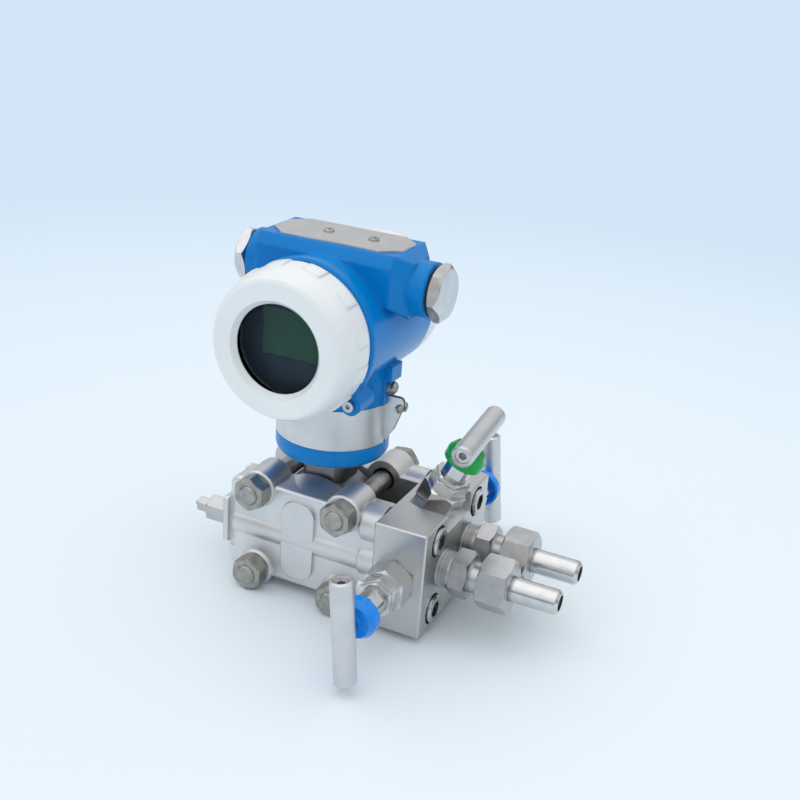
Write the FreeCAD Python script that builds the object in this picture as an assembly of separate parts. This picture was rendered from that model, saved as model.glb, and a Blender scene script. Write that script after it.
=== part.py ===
import FreeCAD, Part
import math
import os

# Differential pressure transmitter on a three-valve manifold.
# Frame: X runs from the flanges towards the process connections, Y along the flange bolts
# (the display looks along -Y) and Z up.  The origin is the middle of the manifold's underside.
# All lengths are millimetres.

V = FreeCAD.Vector
X_AXIS = V(1, 0, 0)
Y_AXIS = V(0, 1, 0)
Z_AXIS = V(0, 0, 1)

# ---------------------------------------------------------------- driving dimensions
# Manifold block
block_thickness = 30.0          # along X
block_width = 88.0              # along Y
block_height = 62.0             # along Z
block_chamfer = 0.8
outlet_half_pitch = 27.0        # process ports of the flanges are 54 mm apart
screw_half_pitch = 20.65        # 41.3 mm bolt pattern round each port
inlet_half_pitch = 17.25        # threaded process inlets on the right face
screw_shank_radius = 5.0
screw_head_radius = 7.7
screw_head_height = 12.0        # the heads stand a little proud of the block
screw_head_chamfer = 0.9
screw_socket_flats = 8.6
screw_engagement = 14.0         # length of screw inside the flange
counterbore_radius = 8.8
counterbore_depth = 10.0
passage_radius = 2.5
chamber_radius = 4.0

# Needle valves, measured outwards from the face they are screwed into
bonnet_shank_radius = 8.0
bonnet_shank_length = 14.0
bonnet_flats = 22.0
bonnet_hex_length = 13.5
shoulder_flats = 19.0
shoulder_length = 6.5
bonnet_neck_radius = 7.2
bonnet_neck_length = 4.2
lock_nut_flats = 18.4
lock_nut_height = 3.0
packing_bore_radius = 5.0
packing_height = 5.0
packing_depth = 11.0            # packing chamber below the neck's end
gland_radius = 7.6
gland_flats = 14.2              # two flats for a spanner
gland_length = 9.0
stem_radius = 3.1
stem_tip_radius = 1.0
stem_cone_length = 4.0
seat_depth = 19.0
valve_stroke = 4.5
closed_handle_height = 51.5     # centre of the T bar above the face, valve closed
cap_radius = 11.0
cap_face_radius = 8.8
cap_skirt_length = 4.5
cap_cone_length = 3.8
cap_wall = 1.5
cap_hub_radius = 5.0
cap_hub_height = 1.2
cap_to_handle = 10.0            # from the cap's face to the centre of the T bar
handle_radius = 6.0
handle_length = 58.0
handle_chamfer = 1.0
handle_well_radius = 4.8        # countersink over the clamping screw in one end
handle_well_depth = 0.9
handle_screw_radius = 3.9
handle_screw_length = 9.0
handle_screw_socket = 4.0       # across flats
side_valve_x = -2.0             # the two block valves sit a little off the middle plane
front_bonnet_turn = 28.0        # degrees that each bonnet was tightened to
rear_bonnet_turn = 20.0
top_bonnet_turn = 15.0
front_shoulder_turn = -3.0      # and its second hexagon against the first
rear_shoulder_turn = 8.0
top_shoulder_turn = -11.0
front_handle_turn = 6.0         # degrees that the T bars stand off the vertical
rear_handle_turn = 7.0
top_handle_turn = 4.0
top_valve_tilt = 24.0           # the equalizing valve leans towards the process side
top_valve_x = 0.5
top_valve_drop = 4.7            # floor of its pocket below the top face, on the valve axis
pocket_radius = 16.7

# Process connections
adapter_thread_radius = 10.5
adapter_engagement = 9.0
adapter_thread_length = 7.6
adapter_thread_pitch = 1.81
adapter_thread_depth = 1.0
adapter_thread_turns = 3        # crests that stay in sight beside the block
adapter_flats = 23.5
adapter_hex_length = 10.0
adapter_neck_radius = 8.6
adapter_neck_length = 6.0
union_flats = 27.0
union_length = 16.5
nipple_radius = 6.8
nipple_bore_radius = 4.4
nipple_length = 26.7
nipple_chamfer = 1.6
nipple_collar_radius = 8.4
nipple_collar_length = 4.0
nipple_relief = 0.2             # the tube is turned down a little inside the nut
nipple_relief_reach = 0.5       # and just outside it
front_adapter_turn = 10.0       # degrees that each hexagon was tightened to
front_union_turn = 15.0
rear_adapter_turn = 16.0
rear_union_turn = 6.0

# Sensor cell and flanges
cell_offset = 49.75             # cell axis to the manifold's left face
flange_gap = 15.0               # inner face of a flange to the middle plane
flange_face = 34.5              # outer face of a flange to the middle plane
flange_half_height = 28.5
flange_left = 44.75             # left end from the cell axis
flange_clearance = 0.5          # slit between flange and manifold
flange_corner = 6.0
flange_edge = 2.2
hub_radius = 32.0
hub_face_radius = 27.5
bolt_half_x = 26.5
bolt_half_z = 24.9
bolt_radius = 5.5
bolt_hole_clearance = 1.2       # clearance holes of the cast bosses
bolt_overhang = 1.0             # thread that stands out of the nut
nut_flats = 17.0
nut_height = 9.2
boss_radius = 10.8
foot_level = -3.7               # the lower bosses are faced flat, level with the nuts' corners
boss_face = 36.0
lug_radius = 10.8
lug_length = 14.0
port_ridge_radius = 9.6
pad_half_width = 10.0
pad_half_height = 23.5
pad_corner = 8.0
pad_rise = 1.8
vent_boss_half_height = 14.0
vent_boss_length = 3.1
vent_boss_inner = 17.0
vent_groove_width = 3.4
vent_groove_depth = 1.4
port_bore_radius = 4.3
port_drill_radius = 3.0
chamber_depth = 1.2
chamber_face_radius = 23.6
port_seal_outer = 9.0
port_seal_inner = 5.5
port_seal_height = 2.4
capsule_radius = 30.2
capsule_seal_height = 1.2
capsule_seal_outer = 27.4
diaphragm_radius = 22.0
diaphragm_thickness = 0.3
cell_neck_width = 25.0
cell_neck_depth = 26.0
cell_neck_chamfer = 4.0
spigot_radius = 12.0
spigot_length = 15.0
spigot_clearance = 0.06
vent_flats = 14.0
vent_length = 13.2
vent_shank_radius = 4.2
vent_shank_length = 12.0
vent_gap = 1.4
vent_screw_flats = 8.0
vent_screw_length = 6.6
vent_screw_radius = 2.3
vent_screw_reach = 16.0
vent_nib_radius = 1.3
vent_nib_length = 2.4

# Housing
neck_rise = 44.2                # underside of the neck above the ports
neck_radius = 31.8
neck_round = 5.0
barrel_radius = 38.4
barrel_front = 40.7             # front end of the barrel from the middle plane
barrel_rear = 36.2
collar_rise = 2.0               # collar at the display end over the barrel
collar_length = 6.0
thread_wall = 3.8               # casting round the cover threads
thread_depth = 11.0
cavity_wall = 6.8               # casting round the two compartments
wall_front = 12.0               # dividing wall, measured towards the display
wall_rear = 6.0
beam_rise = 5.1                 # flat top of the beam over the barrel
beam_left = 40.0                # ends of the beam's full section from the housing's axis
beam_right = 38.2
beam_taper = 7.0                # from there to where it has run into the conduit boss
beam_top_half_width = 18.5
beam_half_width = 22.5
beam_depth = 26.5
beam_shoulder = 6.0
conduit_drop = 19.5             # axis of the conduit entries below the beam's top
conduit_radius = 15.2
conduit_end_left = 51.0
conduit_end_right = 53.5
conduit_bore_radius = 9.9
conduit_bore_depth = 36.0
band_foot = 11.8                # label band above the underside of the neck
band_height = 23.0
band_headroom = 4.6             # from the band up to the barrel's underside
band_thickness = 0.6
band_tab_stand = 10.2           # top corner of the tabs outside the neck
band_tab_foot_stand = 5.1       # where their slanted edge begins, outside the neck
band_tab_foot_rise = 8.0
band_tab_rise = 4.6             # tabs above the band
band_tab_side = 5.0             # upright part of their outer edge
band_tab_gap = 0.9
band_tab_corner = 2.5
band_screw_inset = 2.0          # pinch screw from the tabs' outer edge
band_screw_drop = 6.1           # and below their top
band_screw_radius = 1.5
band_screw_head_radius = 2.4
band_screw_head_height = 1.9
band_screw_reach = 9.0
band_nut_flats = 5.5
band_nut_height = 2.2
screw_slot_width = 0.8          # driver slots of the small screws
ground_stand = 9.2              # earth screw above the band
ground_boss_stand = 0.8         # seat of the earth screw outside the neck
ground_boss_half_width = 6.5
ground_boss_half_height = 9.0
ground_lip_overhang = 3.4       # lip over the screw, beyond its seat
ground_lip_gap = 0.6
ground_screw_radius = 2.0
ground_head_radius = 3.5
ground_head_height = 3.2
ground_washer_radius = 4.2
ground_washer_height = 1.0
ground_screw_length = 8.0
ground_screw_turn = 40.0        # how its slot happens to stand
lock_lug_radius = 5.6
lock_lug_stand = 4.6            # lug's centre over the barrel
lock_lug_angle = -47.5          # below the horizontal, degrees
lock_lug_set_back = 0.6         # lug's face behind the barrel's mouth
lock_lug_length = 17.0
lock_screw_radius = 2.0
lock_screw_head_radius = 3.0
lock_screw_head_height = 2.4
lock_screw_length = 9.0
lock_screw_socket_flats = 2.5
lock_screw_socket_depth = 1.6
plate_half_length = 37.6
plate_half_width = 17.0
plate_corner = 9.0
plate_thickness = 1.2
plate_screw_half_pitch = 13.2
plate_screw_shift = 4.0         # both screws sit off the middle, towards the process side
plate_screw_length = 5.0
plate_screw_radius = 1.4
plate_screw_head_radius = 3.0
plate_screw_head_height = 1.8
plate_screw_turn = 35.0         # how their slots happen to stand
plug_seal_height = 1.3
plug_flats = 27.0
plug_hex_length = 6.5
plug_shank_length = 13.0
plug_turn = 13.0                # how the plugs' hexagons happen to stand

# Covers
cover_seat_gap = 0.3
cover_rise = 1.3                # widest part of the display cover over the barrel
cover_rim_rise = 0.2            # where it meets the barrel
cover_rim_taper = 3.0
cover_rim_length = 9.0
cover_face = 68.6               # front face from the middle plane
cover_face_inset = 5.6          # edge of the flat face inside the widest part
window_bevel = 2.2
window_lip = 3.5
window_overlap = 6.0            # glass behind the lip of the window
glass_shoulder = 2.6            # from the skirt's bore in to the glass
glass_thickness = 8.0
gasket_thickness = 1.0
retainer_height = 2.6
retainer_width = 3.2
cover_lug_count = 12
cover_lug_angle = 14.0          # each grip spans this many degrees
cover_lug_rise = 0.9
cover_lug_reach = 5.0           # grips run this far over the rounded shoulder
skirt_clearance = 0.2           # cover thread inside the barrel's thread
skirt_wall = 2.6
skirt_length = 9.5
oring_section = 0.9
rear_cover_length = 19.8
rear_cover_face_inset = 6.4
rear_cover_wall = 4.0

# Inside the housing
display_face = 52.0             # front of the display from the middle plane
display_clearance = 1.0         # display cartridge inside its compartment
display_depth = 11.0
screen_side_margin = 11.1       # middle edges of the screen inside the cartridge's rim
screen_top_margin = 18.1
screen_offset_x = 4.0
screen_offset_z = 4.0
screen_thickness = 1.5
screen_sink = 0.6
board_clearance = 2.1
board_stand_off = 9.0           # board behind the display cartridge
board_thickness = 1.6
board_post_radius = 2.0
board_post_offset = 23.0
terminal_clearance = 4.6
terminal_depth = 13.0
terminal_flat = 12.0
terminal_pitch = 13.0
terminal_screw_radius = 2.0
terminal_head_radius = 4.0
terminal_head_height = 2.6
terminal_screw_length = 6.0
terminal_screw_rise = 2.0       # row of screws above the middle

fit = 0.1                       # radial clearance of threaded and pressed pieces
joint_gap = 0.3                 # clearance between pieces that move past each other

# ---------------------------------------------------------------- places worked out from them
port_height = block_height / 2
face_right = block_thickness / 2
face_left = -block_thickness / 2
side_face = block_width / 2
cell_x = face_left - cell_offset
flange_end = face_left - flange_clearance
top_tilt = math.radians(top_valve_tilt)
top_direction = V(math.sin(top_tilt), 0, math.cos(top_tilt))
top_root = V(top_valve_x, 0, block_height - top_valve_drop)
neck_end = bonnet_hex_length + shoulder_length + bonnet_neck_length
open_handle_height = closed_handle_height + valve_stroke
capsule_half = flange_gap - capsule_seal_height
neck_bottom = port_height + neck_rise
band_bottom = neck_bottom + band_foot
band_top = band_bottom + band_height
band_tab_top = band_top + band_tab_rise
band_screw_height = band_tab_top - band_screw_drop
band_tab_reach = neck_radius + band_tab_stand
band_tab_foot_reach = neck_radius + band_tab_foot_stand
band_screw_x = cell_x + band_tab_reach - band_screw_inset
ground_height = band_top + ground_stand
ground_boss_reach = neck_radius + ground_boss_stand
ground_lip_reach = ground_boss_reach + ground_lip_overhang
head_height = band_top + band_headroom + barrel_radius
lock_lug_distance = barrel_radius + lock_lug_stand
beam_top = head_height + barrel_radius + beam_rise
beam_bottom = beam_top - beam_depth
conduit_height = beam_top - conduit_drop
plate_screw_places = [cell_x + plate_screw_shift - plate_screw_half_pitch,
                      cell_x + plate_screw_shift + plate_screw_half_pitch]
collar_radius = barrel_radius + collar_rise
thread_bore_radius = barrel_radius - thread_wall
cavity_radius = barrel_radius - cavity_wall
skirt_radius = thread_bore_radius - skirt_clearance
skirt_bore = skirt_radius - skirt_wall
cover_radius = barrel_radius + cover_rise
cover_rim_radius = barrel_radius + cover_rim_rise
cover_face_radius = cover_radius - cover_face_inset
glass_radius = skirt_bore - glass_shoulder
window_radius = glass_radius - window_overlap
retainer_bore = glass_radius - retainer_width
rear_cover_face_radius = barrel_radius - rear_cover_face_inset
display_radius = cavity_radius - display_clearance
screen_half_width = display_radius - screen_side_margin
screen_half_height = display_radius - screen_top_margin
board_radius = cavity_radius - board_clearance
terminal_radius = cavity_radius - terminal_clearance
spigot_top = neck_bottom + spigot_length
plate_top = beam_top + plate_thickness
cover_seat = barrel_front + cover_seat_gap
rear_seat = barrel_rear + cover_seat_gap


# ---------------------------------------------------------------- shape helpers
def place(shape, base, direction, turn=0.0):
    """Turn a shape about its own +Z, lay that +Z along direction, and move it to base."""
    spin = FreeCAD.Rotation(Z_AXIS, turn)
    aim = FreeCAD.Rotation(Z_AXIS, direction)
    placed = shape.copy()
    placed.Placement = FreeCAD.Placement(base, aim.multiply(spin)).multiply(placed.Placement)
    return placed


def cylinder(radius, length, base, direction):
    return Part.makeCylinder(radius, length, base, direction)


def tube(outer, inner, length, base, direction):
    return cylinder(outer, length, base, direction).cut(cylinder(inner, length, base, direction))


def turned(points):
    """Solid of revolution about +Z from a closed outline of (radius, height) points."""
    corners = [V(radius, 0, height) for radius, height in points]
    face = Part.Face(Part.makePolygon(corners + corners[:1]))
    return face.revolve(V(0, 0, 0), Z_AXIS, 360)


def hexagon(flats, length):
    """Plain hexagonal bar on +Z with two flats facing +X and -X."""
    reach = flats / math.sqrt(3)
    corners = []
    for step in range(7):
        angle = math.radians(30 + 60 * step)
        corners.append(V(reach * math.cos(angle), reach * math.sin(angle), 0))
    return Part.Face(Part.makePolygon(corners)).extrude(V(0, 0, length))


def chamfered_hexagon(flats, length, lower=True, upper=True):
    """Hexagonal bar whose corners are turned off at 30 degrees at the chosen ends."""
    reach = flats / math.sqrt(3)
    inner = flats / 2 - 0.2
    drop = (reach - inner) * math.tan(math.radians(30))
    outline = [(0, 0)]
    if lower:
        outline += [(inner, 0), (reach + 0.01, drop)]
    else:
        outline += [(reach + 0.01, 0)]
    if upper:
        outline += [(reach + 0.01, length - drop), (inner, length)]
    else:
        outline += [(reach + 0.01, length)]
    outline += [(0, length)]
    return hexagon(flats, length).common(turned(outline))


def box(x0, x1, y0, y1, z0, z1):
    return Part.makeBox(x1 - x0, y1 - y0, z1 - z0, V(x0, y0, z0))


def rounded_plate(half_x, half_y, corner, thickness):
    """Rectangle with round corners in XY, thickness along +Z."""
    plate = box(-half_x, half_x, -half_y, half_y, 0, thickness)
    upright = [edge for edge in plate.Edges if along(edge, Z_AXIS)]
    return plate.makeFillet(corner, upright)


def along(edge, direction):
    span = edge.Vertexes[-1].Point.sub(edge.Vertexes[0].Point)
    return span.Length > 0 and abs(abs(span.dot(direction)) - span.Length) < 1e-6


def fuse_all(shapes):
    return shapes[0].fuse(shapes[1:]).removeSplitter()


def cut_all(shape, tools):
    for tool in tools:
        shape = shape.cut(tool)
    return shape


def mirrored(shape):
    """The same piece on the other side of the middle plane."""
    return shape.mirror(V(0, 0, 0), Y_AXIS)


def both_sides(value):
    return (-value, value)


# ---------------------------------------------------------------- manifold
def screw_places():
    return [(y, port_height + z) for y in both_sides(outlet_half_pitch)
            for z in both_sides(screw_half_pitch)]


def manifold_block():
    block = box(face_left, face_right, -side_face, side_face, 0, block_height)
    block = block.makeChamfer(block_chamfer, block.Edges)
    tools = []
    for y, z in screw_places():
        tools.append(cylinder(screw_shank_radius + 3 * fit, block_thickness, V(face_left, y, z), X_AXIS))
        head = V(face_right - counterbore_depth, y, z)
        tools.append(cylinder(counterbore_radius, counterbore_depth + 1, head, X_AXIS))
    for side in (-1, 1):
        outward = V(0, side, 0)
        inward = V(0, -side, 0)
        mouth = V(side_valve_x, side * side_face, port_height)
        tools += valve_bore(mouth, outward)
        passage_length = side_face - inlet_half_pitch + passage_radius
        tools.append(cylinder(passage_radius, passage_length, mouth, inward))
        inlet = V(face_right, side * inlet_half_pitch, port_height)
        tools.append(cylinder(adapter_thread_radius + fit, adapter_engagement + 1, inlet, -X_AXIS))
        tools.append(cylinder(passage_radius, face_right - side_valve_x, inlet, -X_AXIS))
        outlet = V(face_left, side * outlet_half_pitch, port_height)
        tools.append(cylinder(chamber_radius, side_valve_x - face_left, outlet, X_AXIS))
    tools += valve_bore(top_root, top_direction)
    cross = top_root - top_direction * (seat_depth + passage_radius + 1)
    cross_start = V(cross.x, -outlet_half_pitch, cross.z)
    tools.append(cylinder(passage_radius, 2 * outlet_half_pitch, cross_start, Y_AXIS))
    tools.append(cylinder(passage_radius, seat_depth + passage_radius + 1, cross, top_direction))
    tools.append(top_pocket())
    return cut_all(block, tools)


def valve_bore(mouth, outward):
    """Threaded seat of a bonnet with the wider chamber that the needle tip stands in."""
    floor = mouth - outward * (bonnet_shank_length + 0.5)
    chamber = mouth - outward * seat_depth
    return [cylinder(bonnet_shank_radius + fit, bonnet_shank_length + 1.5, floor, outward),
            cylinder(chamber_radius, seat_depth, chamber, outward)]


def top_pocket():
    """Open pocket that gives the leaning bonnet a square seat."""
    reach = 2 * block_thickness
    well = cylinder(pocket_radius, reach, V(0, 0, 0), Z_AXIS)
    mouth = box(0, reach, -pocket_radius, pocket_radius, 0, reach)
    return place_top(fuse_all([well, mouth]))


def place_top(shape):
    """Carry a shape drawn about +Z onto the leaning axis, its +X towards the process side."""
    carried = shape.copy()
    lean = FreeCAD.Rotation(Y_AXIS, top_valve_tilt)
    carried.Placement = FreeCAD.Placement(top_root, lean).multiply(carried.Placement)
    return carried


def manifold_screws():
    screws = []
    for y, z in screw_places():
        seat = face_right - counterbore_depth
        tip = flange_end - screw_engagement
        shank = cylinder(screw_shank_radius, seat - tip, V(tip, y, z), X_AXIS)
        head = turned([(0, 0), (screw_head_radius, 0), (screw_head_radius,
                                                        screw_head_height - screw_head_chamfer),
                       (screw_head_radius - screw_head_chamfer, screw_head_height), (0, screw_head_height)])
        socket = hexagon(screw_socket_flats, screw_head_height)
        head = head.cut(place(socket, V(0, 0, screw_head_height / 2), Z_AXIS))
        turn = 17 * len(screws)
        screws.append(fuse_all([shank, place(head, V(seat, y, z), X_AXIS, turn)]))
    return screws


# ---------------------------------------------------------------- needle valves
def bonnet(shoulder_turn):
    hex_part = chamfered_hexagon(bonnet_flats, bonnet_hex_length)
    shank = cylinder(bonnet_shank_radius, bonnet_shank_length + 1, V(0, 0, -bonnet_shank_length), Z_AXIS)
    shoulder = chamfered_hexagon(shoulder_flats, shoulder_length + 1, lower=False)
    shoulder = place(shoulder, V(0, 0, bonnet_hex_length - 1), Z_AXIS, shoulder_turn)
    neck = cylinder(bonnet_neck_radius, neck_end - bonnet_hex_length, V(0, 0, bonnet_hex_length), Z_AXIS)
    body = fuse_all([hex_part, shank, shoulder, neck])
    stem_hole = cylinder(stem_radius + fit, neck_end + bonnet_shank_length + 2,
                         V(0, 0, -bonnet_shank_length - 1), Z_AXIS)
    packing_hole = cylinder(packing_bore_radius + fit, packing_depth + 1,
                            V(0, 0, neck_end - packing_depth), Z_AXIS)
    return cut_all(body, [stem_hole, packing_hole])


def lock_nut():
    base = bonnet_hex_length + shoulder_length
    nut = chamfered_hexagon(lock_nut_flats, lock_nut_height)
    nut = nut.cut(cylinder(bonnet_neck_radius + fit, lock_nut_height, V(0, 0, 0), Z_AXIS))
    return place(nut, V(0, 0, base), Z_AXIS)


def packing():
    base = V(0, 0, neck_end - packing_depth)
    return tube(packing_bore_radius, stem_radius + fit, packing_height, base, Z_AXIS)


def gland():
    spigot_base = neck_end - packing_depth + packing_height
    spigot = cylinder(packing_bore_radius, neck_end - spigot_base + 1, V(0, 0, spigot_base), Z_AXIS)
    head = chamfered_hexagon(gland_flats, gland_length).common(
        cylinder(gland_radius, gland_length, V(0, 0, 0), Z_AXIS))
    body = fuse_all([spigot, place(head, V(0, 0, neck_end), Z_AXIS, 20)])
    return body.cut(cylinder(stem_radius + fit, neck_end + gland_length, V(0, 0, 0), Z_AXIS))


def stem(handle_height):
    """Needle, drawn with its T bar centre at handle_height above the seat face."""
    lift = handle_height - closed_handle_height
    tip = lift - seat_depth - stem_cone_length / 2
    top = handle_height + handle_radius / 2
    return turned([(0, tip), (stem_tip_radius, tip), (stem_radius, tip + stem_cone_length),
                   (stem_radius, top), (0, top)])


def cap(handle_height):
    """Dust cap over the gland, a cup whose mouth looks towards the block."""
    face = handle_height - cap_to_handle
    rim = face - cap_cone_length
    mouth = rim - cap_skirt_length
    inside = cap_radius - cap_wall
    bore = stem_radius + fit
    ceiling = face - cap_wall
    inner_face = cap_face_radius - cap_wall
    return turned([(inside, mouth), (cap_radius, mouth), (cap_radius, rim), (cap_face_radius, face),
                   (cap_hub_radius, face), (cap_hub_radius, face + cap_hub_height),
                   (bore, face + cap_hub_height), (bore, ceiling), (inner_face, ceiling), (inside, rim)])


def handle(handle_height):
    """T bar with the stem's socket in its middle and the clamping screw's thread in one end."""
    half = handle_length / 2
    bar = turned([(0, -half), (handle_radius - handle_chamfer, -half),
                  (handle_radius, handle_chamfer - half),
                  (handle_radius, half - handle_chamfer), (handle_radius - handle_chamfer, half),
                  (0, half)])
    well = cylinder(handle_well_radius, handle_well_depth + 1, V(0, 0, half - handle_well_depth), Z_AXIS)
    thread = cylinder(handle_screw_radius + fit, half, V(0, 0, 0), Z_AXIS)
    bar = place(cut_all(bar, [well, thread]), V(0, 0, handle_height), X_AXIS)
    socket = cylinder(stem_radius + fit / 2, handle_radius * 1.5,
                      V(0, 0, handle_height - handle_radius), Z_AXIS)
    return bar.cut(socket)


def handle_screw(handle_height):
    """Clamping screw in the end of the T bar that looks along +X before the turn."""
    top = handle_length / 2 - 2 * handle_well_depth
    screw = cylinder(handle_screw_radius, handle_screw_length, V(0, 0, top - handle_screw_length), Z_AXIS)
    drive = hexagon(handle_screw_socket, handle_screw_length)
    drive.translate(V(0, 0, top - handle_screw_length / 2))
    return place(screw.cut(drive), V(0, 0, handle_height), X_AXIS)


def on_front(shape, turn=0.0):
    """Carry a valve piece drawn about +Z onto the front block valve, its +X pointing up."""
    upright = shape.copy()
    upright.rotate(V(0, 0, 0), Z_AXIS, turn)
    upright.rotate(V(0, 0, 0), Y_AXIS, -90)
    upright.rotate(V(0, 0, 0), Z_AXIS, 90)
    upright.translate(V(side_valve_x, -side_face, port_height))
    return upright


def on_rear(shape, turn=0.0):
    return mirrored(on_front(shape, turn))


def on_top(shape, turn=0.0):
    """Carry a valve piece onto the equalizing valve, its +X along -Y before the turn."""
    laid = shape.copy()
    laid.rotate(V(0, 0, 0), Z_AXIS, -90 + turn)
    return place_top(laid)


# ---------------------------------------------------------------- process connections
def process_side(shape, side, turn=0.0):
    return place(shape, V(face_right, side * inlet_half_pitch, port_height), X_AXIS, turn)


def adapter():
    hex_start = adapter_thread_length
    hex_end = hex_start + adapter_hex_length
    neck_stop = hex_end + adapter_neck_length + 2
    root = adapter_thread_radius - adapter_thread_depth
    outline = [(0, -adapter_engagement), (root, -adapter_engagement),
               (adapter_thread_radius, adapter_thread_depth - adapter_engagement)]
    for crest in range(adapter_thread_turns):
        start = joint_gap + crest * adapter_thread_pitch
        outline += [(adapter_thread_radius, start), (root, start + adapter_thread_pitch / 2),
                    (adapter_thread_radius, start + adapter_thread_pitch)]
    outline += [(adapter_thread_radius, hex_start + 1), (0, hex_start + 1)]
    thread = turned(outline)
    hex_part = chamfered_hexagon(adapter_flats, adapter_hex_length)
    hex_part.translate(V(0, 0, hex_start))
    neck = cylinder(adapter_neck_radius, neck_stop - hex_end + 1, V(0, 0, hex_end - 1), Z_AXIS)
    body = fuse_all([thread, hex_part, neck])
    bore_length = adapter_engagement + neck_stop
    return body.cut(cylinder(nipple_bore_radius, bore_length, V(0, 0, -adapter_engagement), Z_AXIS))


def union_nut():
    start = adapter_thread_length + adapter_hex_length + adapter_neck_length
    nut = chamfered_hexagon(union_flats, union_length)
    nut.translate(V(0, 0, start))
    seat = start + 2 + fit
    collar_end = seat + nipple_collar_length + fit
    wide = cylinder(nipple_collar_radius + 3 * fit, collar_end - start, V(0, 0, start), Z_AXIS)
    narrow = cylinder(nipple_radius + fit, union_length, V(0, 0, start), Z_AXIS)
    return cut_all(nut, [wide.fuse(cylinder(adapter_neck_radius + fit, 2, V(0, 0, start), Z_AXIS)), narrow])


def nipple():
    start = adapter_thread_length + adapter_hex_length + adapter_neck_length + 2
    relief_end = start - 2 + union_length + nipple_relief_reach
    end = start - 2 + union_length + nipple_length
    return turned([(nipple_bore_radius, start), (nipple_collar_radius, start),
                   (nipple_collar_radius, start + nipple_collar_length),
                   (nipple_radius - nipple_relief, start + nipple_collar_length),
                   (nipple_radius - nipple_relief, relief_end), (nipple_radius, relief_end),
                   (nipple_radius, end - nipple_chamfer),
                   (nipple_radius - nipple_chamfer, end), (nipple_bore_radius, end)])


# ---------------------------------------------------------------- flanges and sensor cell
def bolt_places():
    return [(cell_x + x, port_height + z) for x in both_sides(bolt_half_x) for z in both_sides(bolt_half_z)]


def flange():
    """Cast process flange on the front side; the rear one is its mirror image."""
    left = cell_x - flange_left
    low = port_height - flange_half_height
    high = port_height + flange_half_height
    port_y = -outlet_half_pitch
    body = box(left, flange_end, -flange_face, -flange_gap, low, high)
    corners = [edge for edge in body.Edges
               if along(edge, Y_AXIS) and edge.CenterOfMass.x < left + 0.1]
    body = body.makeFillet(flange_corner, corners)
    rim = [edge for edge in body.Edges
           if abs(edge.CenterOfMass.y + flange_face) < 0.1 and edge.CenterOfMass.x < flange_end - 0.1]
    body = body.makeFillet(flange_edge, rim)
    depth = flange_face - flange_gap
    parts = [body]
    parts.append(Part.makeCone(hub_radius, hub_face_radius, depth - 1,
                               V(cell_x, -flange_gap, port_height), -Y_AXIS))
    for x, z in bolt_places():
        boss = turned([(0, 0), (boss_radius, 0), (boss_radius, boss_face - flange_gap - 1),
                       (boss_radius - 1, boss_face - flange_gap), (0, boss_face - flange_gap)])
        parts.append(place(boss, V(x, -flange_gap, z), -Y_AXIS))
    for z in (-screw_half_pitch, 0, screw_half_pitch):
        lug = turned([(0, 0), (lug_radius, 0), (lug_radius, lug_length - 3), (lug_radius - 3, lug_length),
                      (0, lug_length)])
        parts.append(place(lug, V(flange_end, port_y, port_height + z), -X_AXIS))
    ridge = cylinder(port_ridge_radius, flange_end - left, V(left, port_y, port_height), X_AXIS)
    parts.append(ridge)
    pad = rounded_plate(pad_half_width, pad_half_height, pad_corner, pad_rise + 1)
    pad.rotate(V(0, 0, 0), X_AXIS, 90)
    pad.translate(V(cell_x, -flange_face + 1, port_height))
    parts.append(pad)
    parts.append(vent_boss(left))
    body = fuse_all(parts)
    below = box(left, flange_end, -boss_face, -flange_gap, foot_level - boss_radius, foot_level)
    return cut_all(body, flange_cuts(left, port_y) + [below])


def vent_boss(left):
    boss = box(left - vent_boss_length, left + 2, -boss_face, -vent_boss_inner,
               port_height - vent_boss_half_height, port_height + vent_boss_half_height)
    outer = [edge for edge in boss.Edges
             if along(edge, X_AXIS)]
    return boss.makeFillet(flange_edge, outer)


def flange_cuts(left, port_y):
    tools = []
    for x, z in bolt_places():
        tools.append(cylinder(bolt_radius + bolt_hole_clearance, boss_face, V(x, 0, z), -Y_AXIS))
    for z in both_sides(screw_half_pitch):
        tools.append(cylinder(screw_shank_radius + fit, screw_engagement + 2,
                              V(flange_end, port_y, port_height + z), -X_AXIS))
    groove = box(left, left + vent_groove_width, -boss_face - 2, -flange_face + vent_groove_depth,
                 port_height - vent_boss_half_height - 2, port_height + vent_boss_half_height + 2)
    tools.append(groove)
    bore_start = left - vent_boss_length
    tools.append(cylinder(port_bore_radius, flange_end - bore_start, V(bore_start, port_y, port_height),
                          X_AXIS))
    tools.append(cylinder(port_drill_radius, -port_y - flange_gap, V(cell_x, -flange_gap, port_height),
                          -Y_AXIS))
    tools.append(cylinder(chamber_face_radius, chamber_depth, V(cell_x, -flange_gap, port_height), -Y_AXIS))
    seal_depth = port_seal_height - flange_clearance
    tools.append(cylinder(port_seal_outer + fit, seal_depth, V(flange_end, port_y, port_height), -X_AXIS))
    return tools


def port_seals():
    return [tube(port_seal_outer, port_seal_inner, port_seal_height, V(face_left, y, port_height), -X_AXIS)
            for y in both_sides(outlet_half_pitch)]


def flange_bolts():
    """Bolts with their heads on the rear flange."""
    bolts = []
    for x, z in bolt_places():
        tip = -boss_face - nut_height - bolt_overhang
        shank = turned([(0, 0), (bolt_radius - 0.8, 0), (bolt_radius, 0.8),
                        (bolt_radius, boss_face - tip + 1),
                        (0, boss_face - tip + 1)])
        head = place(chamfered_hexagon(nut_flats, nut_height - 1, lower=False), V(0, 0, boss_face - tip),
                     Z_AXIS,
                     8 * len(bolts))
        bolts.append(place(fuse_all([shank, head]), V(x, tip, z), Y_AXIS))
    return bolts


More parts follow.
